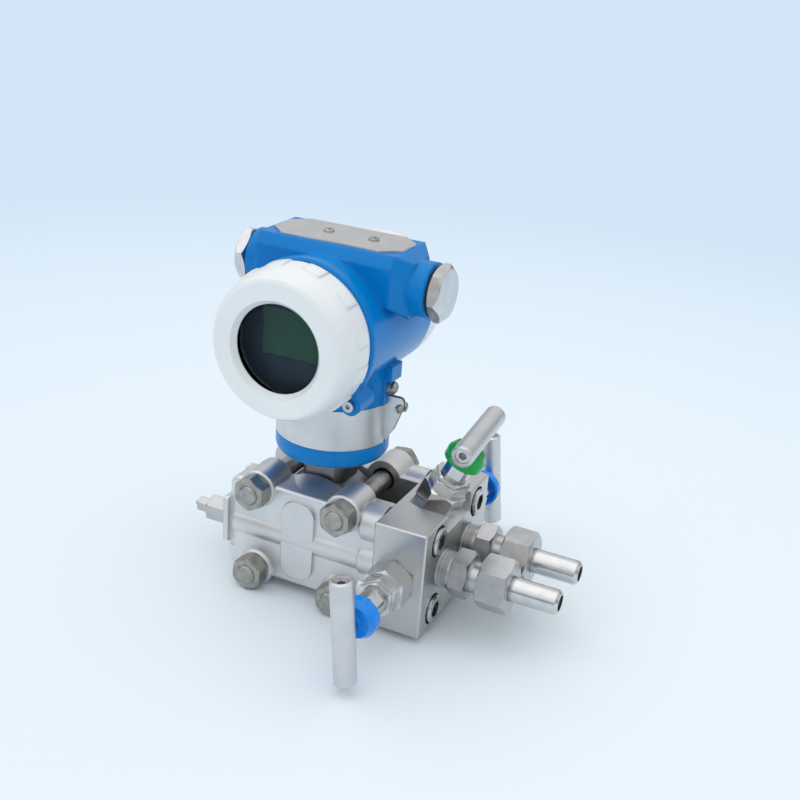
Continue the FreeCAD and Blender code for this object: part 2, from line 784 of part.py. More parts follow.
def flange_nuts():
    nuts = []
    for x, z in bolt_places():
        nut = chamfered_hexagon(nut_flats, nut_height)
        nut = nut.cut(cylinder(bolt_radius + fit, nut_height, V(0, 0, 0), Z_AXIS))
        nuts.append(place(nut, V(x, -boss_face, z), -Y_AXIS, 3 * len(nuts) - 4))
    return nuts


def sensor_capsule():
    """Welded cell: disc between the flanges, square neck and the spigot that the housing turns on."""
    disc = turned([(0, -capsule_half), (capsule_radius - 2, -capsule_half),
                   (capsule_radius, 2 - capsule_half),
                   (capsule_radius, capsule_half - 2), (capsule_radius - 2, capsule_half),
                   (0, capsule_half)])
    disc = place(disc, V(cell_x, 0, port_height), Y_AXIS)
    half_x = cell_neck_width / 2
    half_y = cell_neck_depth / 2
    neck = box(cell_x - half_x, cell_x + half_x, -half_y, half_y, port_height, neck_bottom - joint_gap)
    upright = [edge for edge in neck.Edges if along(edge, Z_AXIS)]
    neck = neck.makeChamfer(cell_neck_chamfer, upright)
    spigot = cylinder(spigot_radius, spigot_top - neck_bottom + 1, V(cell_x, 0, neck_bottom - 1), Z_AXIS)
    groove = tube(spigot_radius + 1, spigot_radius - 2 * oring_section, 2 * oring_section + fit,
                  V(cell_x, 0, neck_bottom + 6), Z_AXIS)
    return fuse_all([disc, neck, spigot]).cut(groove)


def spigot_oring():
    return tube(spigot_radius, spigot_radius - 2 * oring_section, 2 * oring_section,
                V(cell_x, 0, neck_bottom + 6), Z_AXIS)


def capsule_seals():
    return [tube(capsule_seal_outer, chamber_face_radius + fit, capsule_seal_height,
                 V(cell_x, side * capsule_half, port_height), V(0, side, 0)) for side in (-1, 1)]


def diaphragms():
    return [cylinder(diaphragm_radius, diaphragm_thickness, V(cell_x, side * capsule_half, port_height),
                     V(0, side, 0)) for side in (-1, 1)]


def vent_seat():
    """Vent fitting drawn about +Z with its hexagon outside z = 0."""
    hex_part = chamfered_hexagon(vent_flats, vent_length)
    shank = cylinder(vent_shank_radius, vent_shank_length + 1, V(0, 0, -vent_shank_length), Z_AXIS)
    body = fuse_all([hex_part, shank])
    bore = cylinder(vent_screw_radius + 0.05, vent_length + vent_shank_length, V(0, 0, -vent_shank_length),
                    Z_AXIS)
    return body.cut(bore)


def vent_screw():
    start = vent_length + vent_gap
    end = start + vent_screw_length
    hex_part = chamfered_hexagon(vent_screw_flats, vent_screw_length)
    hex_part.translate(V(0, 0, start))
    shank = cylinder(vent_screw_radius, vent_screw_reach, V(0, 0, start - vent_screw_reach + 1), Z_AXIS)
    nib = cylinder(vent_nib_radius, vent_nib_length + 1, V(0, 0, end - 1), Z_AXIS)
    return fuse_all([hex_part, shank, nib])


def on_vent(shape, side):
    return place(shape, V(cell_x - flange_left - vent_boss_length, side * outlet_half_pitch, port_height),
                 -X_AXIS,
                 30)


# ---------------------------------------------------------------- housing
def housing():
    outside = fuse_all([housing_neck(), housing_barrel(), housing_beam(), ground_boss(),
                        lock_lug(-1), lock_lug(1)])
    return cut_all(outside, housing_cavities())


def housing_neck():
    top = head_height - barrel_radius / 2
    outline = [(0, neck_bottom), (neck_radius - neck_round, neck_bottom)]
    for step in range(1, 7):
        angle = math.radians(90 - 15 * step)
        outline.append((neck_radius - neck_round + neck_round * math.cos(angle),
                        neck_bottom + neck_round - neck_round * math.sin(angle)))
    groove = neck_radius - band_thickness
    outline += [(neck_radius, band_bottom - fit), (groove, band_bottom - fit), (groove, band_top + fit),
                (neck_radius, band_top + fit), (neck_radius, top), (0, top)]
    return place(turned(outline), V(cell_x, 0, 0), Z_AXIS)


def housing_barrel():
    outline = [(0, -barrel_front), (collar_radius - 0.8, -barrel_front),
               (collar_radius, 0.8 - barrel_front),
               (collar_radius, collar_length - barrel_front),
               (barrel_radius, collar_length - barrel_front + 2), (barrel_radius, barrel_rear),
               (0, barrel_rear)]
    return place(turned(outline), V(cell_x, 0, head_height), Y_AXIS)


def beam_section(x, top, half_top, half_width, bottom):
    """Six-sided upright section of the beam at the given place along X."""
    shoulder = top - beam_shoulder
    corners = [V(x, -half_top, top), V(x, half_top, top), V(x, half_width, shoulder),
               V(x, half_width, bottom), V(x, -half_width, bottom), V(x, -half_width, shoulder)]
    return Part.makePolygon(corners + corners[:1])


def housing_beam():
    ends = {-1: cell_x - beam_left, 1: cell_x + beam_right}
    middle = Part.makeLoft([beam_section(ends[side], beam_top, beam_top_half_width, beam_half_width,
                                         beam_bottom)
                            for side in (-1, 1)], True, True)
    parts = [middle]
    tip_half = conduit_radius * 0.8
    for side in (-1, 1):
        wide = beam_section(ends[side], beam_top, beam_top_half_width, beam_half_width, beam_bottom)
        narrow = beam_section(ends[side] + side * beam_taper, conduit_height + conduit_radius - 0.5,
                              tip_half * 0.75, tip_half, conduit_height - conduit_radius + 1.5)
        parts.append(Part.makeLoft([wide, narrow], True, True))
        parts.append(cylinder(conduit_radius, conduit_end(side) - 30,
                              V(cell_x + side * 30, 0, conduit_height),
                              V(side, 0, 0)))
    return fuse_all(parts)


def conduit_end(side):
    """Face of a conduit entry from the housing's axis; side -1 is the left one."""
    return conduit_end_left if side < 0 else conduit_end_right


def ground_boss():
    """Ear on the process side of the neck for the external earth screw."""
    start = cell_x + neck_radius / 2
    low = ground_height - ground_boss_half_height
    lip = ground_height + ground_washer_radius + ground_lip_gap
    seat = box(start, cell_x + ground_boss_reach, -ground_boss_half_width, ground_boss_half_width, low,
               lip + 1)
    shelter = box(start, cell_x + ground_lip_reach, -ground_boss_half_width, ground_boss_half_width,
                  lip, lip + ground_boss_half_height)
    return seat.fuse(shelter)


def lock_lug_place(side):
    angle = math.radians(lock_lug_angle)
    return V(cell_x - side * lock_lug_distance * math.cos(angle), 0,
             head_height + lock_lug_distance * math.sin(angle))


def lock_lug_face(side):
    """Face of the lug from the middle plane."""
    mouth = barrel_front if side < 0 else barrel_rear
    return mouth - lock_lug_set_back


def lock_lug(side):
    """Lug for the cover's locking screw: side -1 is at the display end, 1 at the terminal end."""
    centre = lock_lug_place(side)
    face = lock_lug_face(side)
    start = V(centre.x, side * face, centre.z)
    lug = cylinder(lock_lug_radius, lock_lug_length, start, V(0, -side, 0))
    inward = V(cell_x - centre.x, 0, head_height - centre.z)
    inward.normalize()
    web = box(0, lock_lug_distance / 3, -lock_lug_radius, lock_lug_radius, 0, lock_lug_length)
    turn = math.degrees(math.atan2(inward.z, inward.x))
    web.rotate(V(0, 0, 0), X_AXIS, 90)
    web.rotate(V(0, 0, 0), Y_AXIS, -turn)
    web.translate(V(centre.x, 0, centre.z))
    bounds = web.BoundBox
    web.translate(V(0, (side * face - bounds.YMax) if side > 0 else (-face - bounds.YMin), 0))
    return lug.fuse(web)


def housing_cavities():
    centre = V(cell_x, 0, head_height)
    tools = [cylinder(thread_bore_radius, thread_depth, centre - Y_AXIS * barrel_front, Y_AXIS),
             cylinder(cavity_radius, barrel_front - wall_front, centre - Y_AXIS * barrel_front, Y_AXIS),
             cylinder(thread_bore_radius, thread_depth, centre + Y_AXIS * (barrel_rear - thread_depth),
                      Y_AXIS),
             cylinder(cavity_radius, barrel_rear + wall_rear, centre - Y_AXIS * wall_rear, Y_AXIS)]
    spigot_bore = spigot_radius + spigot_clearance
    tools.append(cylinder(spigot_bore, spigot_length + joint_gap, V(cell_x, 0, neck_bottom), Z_AXIS))
    tools.append(cylinder(spigot_radius / 2, head_height - neck_bottom, V(cell_x, 0, neck_bottom), Z_AXIS))
    for side in (-1, 1):
        mouth = V(cell_x + side * conduit_end(side), 0, conduit_height)
        tools.append(cylinder(conduit_bore_radius, conduit_bore_depth, mouth, V(-side, 0, 0)))
    for side in (-1, 1):
        lug = lock_lug_place(side)
        face = lock_lug_face(side)
        tools.append(cylinder(lock_screw_radius + fit, lock_screw_length + 2, V(lug.x, side * face, lug.z),
                              V(0, -side, 0)))
        tools.append(cylinder(lock_screw_head_radius + joint_gap, lock_screw_head_height + 1,
                              V(lug.x, side * face, lug.z), V(0, side, 0)))
    tools.append(cylinder(ground_screw_radius + fit, ground_screw_length + 1,
                          V(cell_x + ground_boss_reach, 0, ground_height), -X_AXIS))
    for x in plate_screw_places:
        tools.append(cylinder(plate_screw_radius + fit, plate_screw_length + 1, V(x, 0, beam_top + 1),
                              -Z_AXIS))
    return tools


def band_tab(side, inner):
    """One end of the band turned outwards: a plate that widens upwards, its outer corner rounded."""
    outline = [V(inner, 0, band_bottom), V(band_tab_foot_reach, 0, band_bottom + band_tab_foot_rise),
               V(band_tab_reach, 0, band_tab_top - band_tab_side), V(band_tab_reach, 0, band_tab_top),
               V(inner, 0, band_tab_top)]
    tab = Part.Face(Part.makePolygon(outline + outline[:1])).extrude(V(0, side * band_thickness, 0))
    tip = [edge for edge in tab.Edges
           if along(edge, Y_AXIS) and edge.CenterOfMass.x > inner + 1]
    tab = tab.makeFillet(band_tab_corner, tip)
    tab.translate(V(cell_x, side * band_tab_gap, 0))
    return tab


def label_band():
    """Steel band round the neck, its two ends turned out and pinched by one screw."""
    inner = neck_radius - band_thickness + fit / 2
    ring = tube(inner + band_thickness, inner, band_height, V(cell_x, 0, band_bottom), Z_AXIS)
    slit = box(cell_x, cell_x + 2 * neck_radius, -band_tab_gap, band_tab_gap, band_bottom, band_top)
    parts = [ring.cut(slit), band_tab(-1, inner), band_tab(1, inner)]
    hole = cylinder(band_screw_radius + fit, 2 * band_screw_reach,
                    V(band_screw_x, -band_screw_reach, band_screw_height), Y_AXIS)
    inside = cylinder(inner, band_height, V(cell_x, 0, band_bottom), Z_AXIS)
    above = cylinder(ground_boss_reach + fit, band_tab_rise, V(cell_x, 0, band_top), Z_AXIS)
    return cut_all(fuse_all(parts), [hole, inside, above])


def driver_slot(bottom, reach):
    """Cutter for the slot of a small screw drawn about +Z."""
    return box(-screw_slot_width / 2, screw_slot_width / 2, -reach - 1, reach + 1, bottom, bottom + reach)


def band_screw():
    """Pinch screw and its nut across the two tabs."""
    outer = band_tab_gap + band_thickness
    shank = cylinder(band_screw_radius, band_screw_reach, V(band_screw_x, -outer - 1, band_screw_height),
                     Y_AXIS)
    head = turned([(0, 0), (band_screw_head_radius, 0), (band_screw_head_radius,
                                                         band_screw_head_height / 2),
                   (band_screw_head_radius - 0.6, band_screw_head_height), (0, band_screw_head_height)])
    head = head.cut(driver_slot(0.6 * band_screw_head_height, band_screw_head_radius))
    screw = fuse_all([shank, place(head, V(band_screw_x, -outer, band_screw_height), -Y_AXIS, 25)])
    nut = chamfered_hexagon(band_nut_flats, band_nut_height)
    nut = nut.cut(cylinder(band_screw_radius + fit, band_nut_height, V(0, 0, 0), Z_AXIS))
    return [screw, place(nut, V(band_screw_x, outer, band_screw_height), Y_AXIS, 10)]


def nameplate():
    """Bare plate on the flat of the beam with its four corners cut off."""
    x = plate_half_length
    y = plate_half_width
    c = plate_corner
    corners = [V(x, y - c, 0), V(x - c, y, 0), V(c - x, y, 0), V(-x, y - c, 0), V(-x, c - y, 0),
               V(c - x, -y, 0), V(x - c, -y, 0), V(x, c - y, 0)]
    plate = Part.Face(Part.makePolygon(corners + corners[:1])).extrude(V(0, 0, plate_thickness))
    plate.translate(V(cell_x, 0, beam_top))
    holes = [cylinder(plate_screw_radius + fit, plate_thickness + 2, V(x, 0, beam_top - 1), Z_AXIS)
             for x in plate_screw_places]
    return cut_all(plate, holes)


def nameplate_screws():
    screws = []
    for x in plate_screw_places:
        shank = cylinder(plate_screw_radius, plate_screw_length + 1, V(0, 0, -plate_screw_length), Z_AXIS)
        outline = [(0, 0), (plate_screw_head_radius, 0)]
        for step in range(1, 5):
            angle = math.radians(22.5 * step)
            outline.append((plate_screw_head_radius * math.cos(angle),
                            plate_screw_head_height * math.sin(angle)))
        outline[-1] = (0, plate_screw_head_height)
        head = turned(outline).cut(driver_slot(0.6 * plate_screw_head_height, plate_screw_head_radius))
        screws.append(place(fuse_all([shank, head]), V(x, 0, plate_top), Z_AXIS, plate_screw_turn))
    return screws


def conduit_plug(side):
    base = V(cell_x + side * (conduit_end(side) + plug_seal_height), 0, conduit_height)
    reach = plug_flats / math.sqrt(3)
    hex_part = hexagon(plug_flats, plug_hex_length)
    dome = turned([(0, 0), (plug_flats / 2 - 0.3, 0), (reach + 0.01, 1.2),
                   (reach + 0.01, plug_hex_length - 2.2),
                   (plug_flats / 2 - 0.4, plug_hex_length), (0, plug_hex_length)])
    shank = cylinder(conduit_bore_radius - fit, plug_shank_length, V(0, 0, 1 - plug_shank_length), Z_AXIS)
    return place(fuse_all([hex_part.common(dome), shank]), base, V(side, 0, 0), plug_turn)


def plug_seals():
    return [tube(plug_flats / 2 - 0.6, conduit_bore_radius, plug_seal_height,
                 V(cell_x + side * conduit_end(side), 0, conduit_height),
                 V(side, 0, 0)) for side in (-1, 1)]


def ground_screw():
    """Pan-head earth screw with its clamping washer."""
    washer = cylinder(ground_washer_radius, ground_washer_height + 0.2, V(0, 0, 0), Z_AXIS)
    head = turned([(0, 0), (ground_head_radius, 0), (ground_head_radius, ground_head_height - 1),
                   (ground_head_radius - 1, ground_head_height), (0, ground_head_height)])
    head.translate(V(0, 0, ground_washer_height))
    slot = driver_slot(ground_washer_height + 0.6 * ground_head_height, ground_head_radius)
    shank = cylinder(ground_screw_radius, ground_screw_length + 1, V(0, 0, -ground_screw_length), Z_AXIS)
    body = fuse_all([washer, head, shank]).cut(slot)
    return place(body, V(cell_x + ground_boss_reach, 0, ground_height), X_AXIS, ground_screw_turn)


def cover_lock_screws():
    screws = []
    for side in (-1, 1):
        lug = lock_lug_place(side)
        face = lock_lug_face(side)
        shank = cylinder(lock_screw_radius, lock_screw_length + 1, V(0, 0, -lock_screw_length), Z_AXIS)
        head = cylinder(lock_screw_head_radius, lock_screw_head_height, V(0, 0, 0), Z_AXIS)
        socket = hexagon(lock_screw_socket_flats, 2 * lock_screw_socket_depth)
        socket.translate(V(0, 0, lock_screw_head_height - lock_screw_socket_depth))
        body = fuse_all([shank, head]).cut(socket)
        screws.append(place(body, V(lug.x, side * face, lug.z), V(0, side, 0), 12))
    return screws


# ---------------------------------------------------------------- covers
def on_display_end(shape):
    """Carry a turned piece drawn about +Z to the display end, its +Z looking forward."""
    return place(shape, V(cell_x, 0, head_height), -Y_AXIS)


def on_terminal_end(shape):
    return place(shape, V(cell_x, 0, head_height), Y_AXIS)


def front_cover():
    lip = cover_face - window_lip
    pocket = glass_radius + 3 * fit
    rim_end = cover_seat + cover_rim_length
    skirt_end = cover_seat - skirt_length
    throat = lip - gasket_thickness - glass_thickness - retainer_height
    shoulder_angle_steps = 5
    outline = [(skirt_bore, skirt_end), (skirt_radius, skirt_end), (skirt_radius, cover_seat),
               (cover_rim_radius, cover_seat), (cover_radius, cover_seat + cover_rim_taper),
               (cover_radius, rim_end)]
    fall = cover_radius - cover_face_radius
    run = cover_face - rim_end
    for step in range(1, shoulder_angle_steps + 1):
        share = step / shoulder_angle_steps
        radius = cover_radius - fall * (1 - math.cos(math.pi / 2 * share))
        outline.append((radius, rim_end + run * math.sin(math.pi / 2 * share)))
    outline += [(window_radius + window_bevel, cover_face), (window_radius, lip + 0.6),
                (window_radius, lip),
                (pocket, lip), (pocket, throat), (skirt_bore, throat - 2)]
    body = turned(outline)
    return on_display_end(fuse_all([body] + cover_lugs(rim_end)))


def cover_lugs(rim_end):
    """Raised grips round the rim for turning the cover by hand or with a bar."""
    root = cover_radius - 3
    top = cover_radius + cover_lug_rise
    start = cover_seat + cover_rim_taper
    end = rim_end + cover_lug_reach
    corners = [V(root, 0, start), V(top - 0.5, 0, start), V(top, 0, start + 1), V(top, 0, rim_end),
               V(top - 0.4, 0, end - 1.5), V(top - 1.8, 0, end), V(root, 0, end)]
    section = Part.Face(Part.makePolygon(corners + corners[:1]))
    lugs = []
    for step in range(cover_lug_count):
        lug = section.revolve(V(0, 0, 0), Z_AXIS, cover_lug_angle)
        lug.rotate(V(0, 0, 0), Z_AXIS, 360 / cover_lug_count * (step + 0.5) - cover_lug_angle / 2)
        lugs.append(lug)
    return lugs


def window_gasket():
    lip = cover_face - window_lip
    return on_display_end(tube(glass_radius, window_radius + 1, gasket_thickness,
                               V(0, 0, lip - gasket_thickness), Z_AXIS))


def window_glass():
    top = cover_face - window_lip - gasket_thickness
    return on_display_end(cylinder(glass_radius, glass_thickness, V(0, 0, top - glass_thickness), Z_AXIS))


def window_retainer():
    top = cover_face - window_lip - gasket_thickness - glass_thickness
    return on_display_end(tube(glass_radius, retainer_bore, retainer_height - fit,
                               V(0, 0, top - retainer_height + fit), Z_AXIS))


def rear_cover():
    face = rear_seat + rear_cover_length
    skirt_end = rear_seat - skirt_length
    rim_end = rear_seat + cover_rim_length
    outline = [(skirt_bore, skirt_end), (skirt_radius, skirt_end), (skirt_radius, rear_seat),
               (barrel_radius - 0.8, rear_seat), (barrel_radius, rear_seat + 0.8), (barrel_radius, rim_end)]
    fall = barrel_radius - rear_cover_face_radius
    run = face - rim_end
    for step in range(1, 6):
        share = step / 5
        radius = barrel_radius - fall * (1 - math.cos(math.pi / 2 * share))
        outline.append((radius, rim_end + run * math.sin(math.pi / 2 * share)))
    outline += [(0, face), (0, face - rear_cover_wall), (skirt_bore - 4, face - rear_cover_wall),
                (skirt_bore, rim_end)]
    return on_terminal_end(turned(outline))


def cover_oring(seat):
    """Seal that rides in the corner under the cover's rim, a little inside the barrel's mouth."""
    height = 2 * oring_section
    base = seat - cover_seat_gap - height
    return tube(thread_bore_radius - 0.05, skirt_radius + 0.02, height, V(0, 0, base), Z_AXIS)


# ---------------------------------------------------------------- inside the housing
def display_module():
    """Round display cartridge with a sunken field for the screen."""
    body = turned([(0, display_face - display_depth), (display_radius, display_face - display_depth),
                   (display_radius, display_face - 1.5), (display_radius - 1.5, display_face),
                   (0, display_face)])
    field = box(-screen_half_width - fit, screen_half_width + fit, -screen_half_height - fit,
                screen_half_height + fit, display_face - screen_sink - screen_thickness, display_face + 1)
    field.translate(V(screen_offset_x, screen_offset_z, 0))
    return display_place(body.cut(field))


def display_place(shape):
    """Lay a piece drawn face up in XY so that its face looks along -Y with +Y turned up."""
    laid = shape.copy()
    laid.rotate(V(0, 0, 0), X_AXIS, 90)
    laid.translate(V(cell_x, 0, head_height))
    return laid


def display_screen():
    top = display_face - screen_sink
    screen = box(-screen_half_width, screen_half_width, -screen_half_height, screen_half_height,
                 top - screen_thickness, top)
    screen.translate(V(screen_offset_x, screen_offset_z, 0))
    return display_place(screen)


def electronics_board():
    """Main board on four posts between the dividing wall and the display."""
    back = display_face - display_depth
    board = cylinder(board_radius, board_thickness, V(0, 0, back - board_stand_off), Z_AXIS)
    parts = [board]
    for step in range(4):
        angle = math.radians(45 + 90 * step)
        foot = V(board_post_offset * math.cos(angle), board_post_offset * math.sin(angle), wall_front)
        parts.append(cylinder(board_post_radius, back - wall_front, foot, Z_AXIS))
    chip = board_radius / 3
    parts.append(box(-chip, chip, -chip, chip, back - board_stand_off + 1, back - board_stand_off / 2))
    return display_place(fuse_all(parts))


def terminal_face():
    return terminal_depth - wall_rear


def terminal_block():
    body = cylinder(terminal_radius, terminal_depth, V(0, 0, -wall_rear), Z_AXIS)
    flat = box(-terminal_radius, terminal_radius, terminal_flat, terminal_radius, terminal_face() - 5,
               terminal_face() + 1)
    holes = [cylinder(terminal_screw_radius + fit, terminal_screw_length + 2,
                      V(step * terminal_pitch, terminal_screw_rise,
                        terminal_face() - terminal_screw_length - 1),
                      Z_AXIS)
             for step in (-1, 0, 1)]
    return terminal_place(cut_all(body, [flat] + holes))


def terminal_place(shape):
    """Lay a piece drawn face up so that its face looks along +Y."""
    laid = shape.copy()
    laid.rotate(V(0, 0, 0), X_AXIS, -90)
    laid.translate(V(cell_x, 0, head_height))
    return laid


def terminal_screws():
    screws = []
    for step in (-1, 0, 1):
        shank = cylinder(terminal_screw_radius, terminal_screw_length + 1, V(0, 0, -terminal_screw_length),
                         Z_AXIS)
        head = cylinder(terminal_head_radius, terminal_head_height, V(0, 0, 0), Z_AXIS)
        slot = driver_slot(terminal_head_height / 2, terminal_head_radius)
        body = fuse_all([shank, head]).cut(slot)
        body.rotate(V(0, 0, 0), Z_AXIS, 30 * step)
        body.translate(V(step * terminal_pitch, terminal_screw_rise, terminal_face()))
        screws.append(terminal_place(body))
    return screws


# ---------------------------------------------------------------- the assembly
def assembly():
    front_open = open_handle_height
    top_closed = closed_handle_height
    nodes = {
        "manifold_block": manifold_block(),
        "manifold_screws": manifold_screws(),
        "port_seals": port_seals(),
        "bonnet_front": on_front(bonnet(front_shoulder_turn), front_bonnet_turn),
        "bonnet_rear": on_rear(bonnet(rear_shoulder_turn), rear_bonnet_turn),
        "bonnet_top": on_top(bonnet(top_shoulder_turn), top_bonnet_turn),
        "bonnet_lock_nuts": [on_front(lock_nut(), front_bonnet_turn), on_rear(lock_nut(), rear_bonnet_turn),
                             on_top(lock_nut(), top_bonnet_turn + top_shoulder_turn)],
        "valve_packings": [on_front(packing()), on_rear(packing()), on_top(packing())],
        "packing_glands": [on_front(gland()), on_rear(gland()), on_top(gland())],
        "stem_front": on_front(stem(front_open)),
        "stem_rear": on_rear(stem(front_open)),
        "stem_top": on_top(stem(top_closed)),
        "valve_cap_front": on_front(cap(front_open)),
        "valve_cap_rear": on_rear(cap(front_open)),
        "valve_cap_top": on_top(cap(top_closed)),
        "handle_front": [on_front(piece(front_open), front_handle_turn) for piece in (handle,
                                                                                      handle_screw)],
        "handle_rear": [on_rear(piece(front_open), rear_handle_turn) for piece in (handle, handle_screw)],
        "handle_top": [on_top(piece(top_closed), top_handle_turn) for piece in (handle, handle_screw)],
        "flange_front": flange(),
        "flange_rear": mirrored(flange()),
        "flange_bolts": flange_bolts(),
        "flange_nuts": flange_nuts(),
        "sensor_capsule": sensor_capsule(),
        "spigot_oring": spigot_oring(),
        "capsule_seals": capsule_seals(),
        "isolating_diaphragms": diaphragms(),
        "housing": housing(),
        "label_band": label_band(),
        "band_screw": band_screw(),
        "nameplate": nameplate(),
        "nameplate_screws": nameplate_screws(),
        "conduit_plug_left": conduit_plug(-1),
        "conduit_plug_right": conduit_plug(1),
        "plug_seals": plug_seals(),
        "ground_screw": ground_screw(),
        "cover_lock_screws": cover_lock_screws(),
        "front_cover": front_cover(),
        "window_gasket": window_gasket(),
        "window_glass": window_glass(),
        "window_retainer": window_retainer(),
        "front_cover_oring": on_display_end(cover_oring(cover_seat)),
        "rear_cover": rear_cover(),
        "rear_cover_oring": on_terminal_end(cover_oring(rear_seat)),
        "display_module": display_module(),
        "display_screen": display_screen(),
        "electronics_board": electronics_board(),
        "terminal_block": terminal_block(),
        "terminal_screws": terminal_screws(),
    }
    for name, side in (("front", -1), ("rear", 1)):
        adapter_turn = front_adapter_turn if side < 0 else rear_adapter_turn
        union_turn = front_union_turn if side < 0 else rear_union_turn
        nodes["adapter_" + name] = process_side(adapter(), side, adapter_turn)
        nodes["union_nut_" + name] = process_side(union_nut(), side, union_turn)
        nodes["weld_nipple_" + name] = process_side(nipple(), side)
        nodes["vent_seat_" + name] = on_vent(vent_seat(), side)
        nodes["vent_screw_" + name] = on_vent(vent_screw(), side)
    return nodes


def save(nodes):
    os.makedirs("parts", exist_ok=True)
    for name, shape in nodes.items():
        if isinstance(shape, list):
            shape = Part.makeCompound(shape)
        shape.exportStep("parts/" + name + ".step")


save(assembly())
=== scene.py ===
import math

import bpy
from mathutils import Matrix, Vector


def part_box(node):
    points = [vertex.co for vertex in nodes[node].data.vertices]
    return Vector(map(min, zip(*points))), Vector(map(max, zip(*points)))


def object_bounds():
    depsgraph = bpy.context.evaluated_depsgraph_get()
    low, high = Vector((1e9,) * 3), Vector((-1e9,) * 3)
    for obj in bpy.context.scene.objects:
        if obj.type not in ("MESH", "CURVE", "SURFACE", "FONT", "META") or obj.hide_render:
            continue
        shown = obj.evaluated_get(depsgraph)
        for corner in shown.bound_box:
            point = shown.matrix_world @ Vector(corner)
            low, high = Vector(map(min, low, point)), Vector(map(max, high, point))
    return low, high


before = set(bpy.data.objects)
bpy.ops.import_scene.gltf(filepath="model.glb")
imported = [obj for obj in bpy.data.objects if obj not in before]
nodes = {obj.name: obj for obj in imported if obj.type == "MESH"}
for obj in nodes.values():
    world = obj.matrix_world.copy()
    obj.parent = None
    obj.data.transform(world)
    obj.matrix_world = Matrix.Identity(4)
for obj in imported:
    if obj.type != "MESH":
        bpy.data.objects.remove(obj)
cad_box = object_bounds()

MM = 0.001
COVER_LOW, COVER_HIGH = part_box("front_cover")
GRIP_COUNT = 12                         # raised grips round the display cover
GRIP_SHOULDER = (11.5 * MM, 15.0 * MM)  # where they rise, behind the cover's front face
GRIP_RIM = (23.0 * MM, 25.0 * MM)       # and where they end
RING_EDGE = 0.6 * MM                    # depth of the pebbled ring round the window


# ---------------------------------------------------------------- material helpers
class Shader:
    """A Principled material with object coordinates in metres and short calls for its nodes."""

    def __init__(self, name, colour, roughness, metallic=0.0, coat=0.0, coat_roughness=0.08):
        self.material = bpy.data.materials.new(name)
        self.material.use_nodes = True
        self.tree = self.material.node_tree
        self.principled = self.tree.nodes["Principled BSDF"]
        self.principled.inputs["Metallic"].default_value = metallic
        self.principled.inputs["Roughness"].default_value = roughness
        self.principled.inputs["Base Color"].default_value = (*colour, 1)
        if coat:
            self.principled.inputs["Coat Weight"].default_value = coat
            self.principled.inputs["Coat Roughness"].default_value = coat_roughness
        self.coordinates = self.node("ShaderNodeTexCoord").outputs["Object"]
        self.height = None

    def node(self, kind, **settings):
        made = self.tree.nodes.new(kind)
        for key, value in settings.items():
            setattr(made, key, value)
        return made

    def link(self, source, target):
        self.tree.links.new(source, target)

    def stretched(self, scale, rotation=(0, 0, 0)):
        mapping = self.node("ShaderNodeMapping")
        mapping.inputs["Scale"].default_value = scale
        mapping.inputs["Rotation"].default_value = rotation
        self.link(self.coordinates, mapping.inputs["Vector"])
        return mapping.outputs["Vector"]

    def noise(self, scale, detail=3.0, vector=None):
        noise = self.node("ShaderNodeTexNoise")
        noise.inputs["Scale"].default_value = scale
        noise.inputs["Detail"].default_value = detail
        self.link(vector or self.coordinates, noise.inputs["Vector"])
        return noise.outputs["Fac"]

    def ramp(self, value, low, high, start=0.3, end=0.7):
        """Colour that runs from low to high as value runs from start to end."""
        ramp = self.node("ShaderNodeValToRGB")
        ramp.color_ramp.elements[0].position = start
        ramp.color_ramp.elements[1].position = end
        ramp.color_ramp.elements[0].color = (*low, 1)
        ramp.color_ramp.elements[1].color = (*high, 1)
        self.link(value, ramp.inputs["Fac"])
        return ramp.outputs["Color"]

    def spread(self, value, low, high, start=0.3, end=0.7):
        mapping = self.node("ShaderNodeMapRange")
        mapping.inputs["From Min"].default_value = start
        mapping.inputs["From Max"].default_value = end
        mapping.inputs["To Min"].default_value = low
        mapping.inputs["To Max"].default_value = high
        self.link(value, mapping.inputs["Value"])
        return mapping.outputs["Result"]

    def maths(self, operation, first, second=0.0):
        """A Math node; each input is another node's output or a plain number."""
        made = self.node("ShaderNodeMath", operation=operation)
        for socket, value in zip(made.inputs, (first, second)):
            if isinstance(value, (int, float)):
                socket.default_value = value
            else:
                self.link(value, socket)
        return made.outputs["Value"]

    def colour_varies(self, value, low, high, start=0.3, end=0.7):
        self.link(self.ramp(value, low, high, start, end), self.principled.inputs["Base Color"])

    def roughness_varies(self, value, low, high, start=0.3, end=0.7):
        self.link(self.spread(value, low, high, start, end), self.principled.inputs["Roughness"])

    def bumped(self, value, distance, strength=1.0):
        bump = self.node("ShaderNodeBump")
        bump.inputs["Strength"].default_value = strength
        bump.inputs["Distance"].default_value = distance
        self.link(value, bump.inputs["Height"])
        if self.height:
            self.link(self.height, bump.inputs["Normal"])
        self.height = bump.outputs["Normal"]
        self.link(self.height, self.principled.inputs["Normal"])

    def rounded(self, radius):
        """Softens the look of sharp edges over the given radius."""
        bevel = self.node("ShaderNodeBevel", samples=6)
        bevel.inputs["Radius"].default_value = radius
        self.height = bevel.outputs["Normal"]
        self.link(self.height, self.principled.inputs["Normal"])


def scaled(colour, factor):
    return tuple(channel * factor for channel in colour)


# ---------------------------------------------------------------- materials
def milled_steel():
    """Fine-milled stainless block: faint parallel cutter marks and cloudy reflections."""
    shader = Shader("milled_steel", (0.56, 0.56, 0.56), 0.36, metallic=1.0)
    shader.rounded(0.25 * MM)
    marks = shader.noise(1.0, 2.0, shader.stretched((60, 2600, 60)))
    clouds = shader.noise(45.0, 4.0)
    shader.colour_varies(clouds, (0.55, 0.55, 0.55), (0.64, 0.64, 0.635))
    shader.roughness_varies(clouds, 0.30, 0.44)
    shader.bumped(marks, 0.02 * MM, 0.25)
    return shader.material


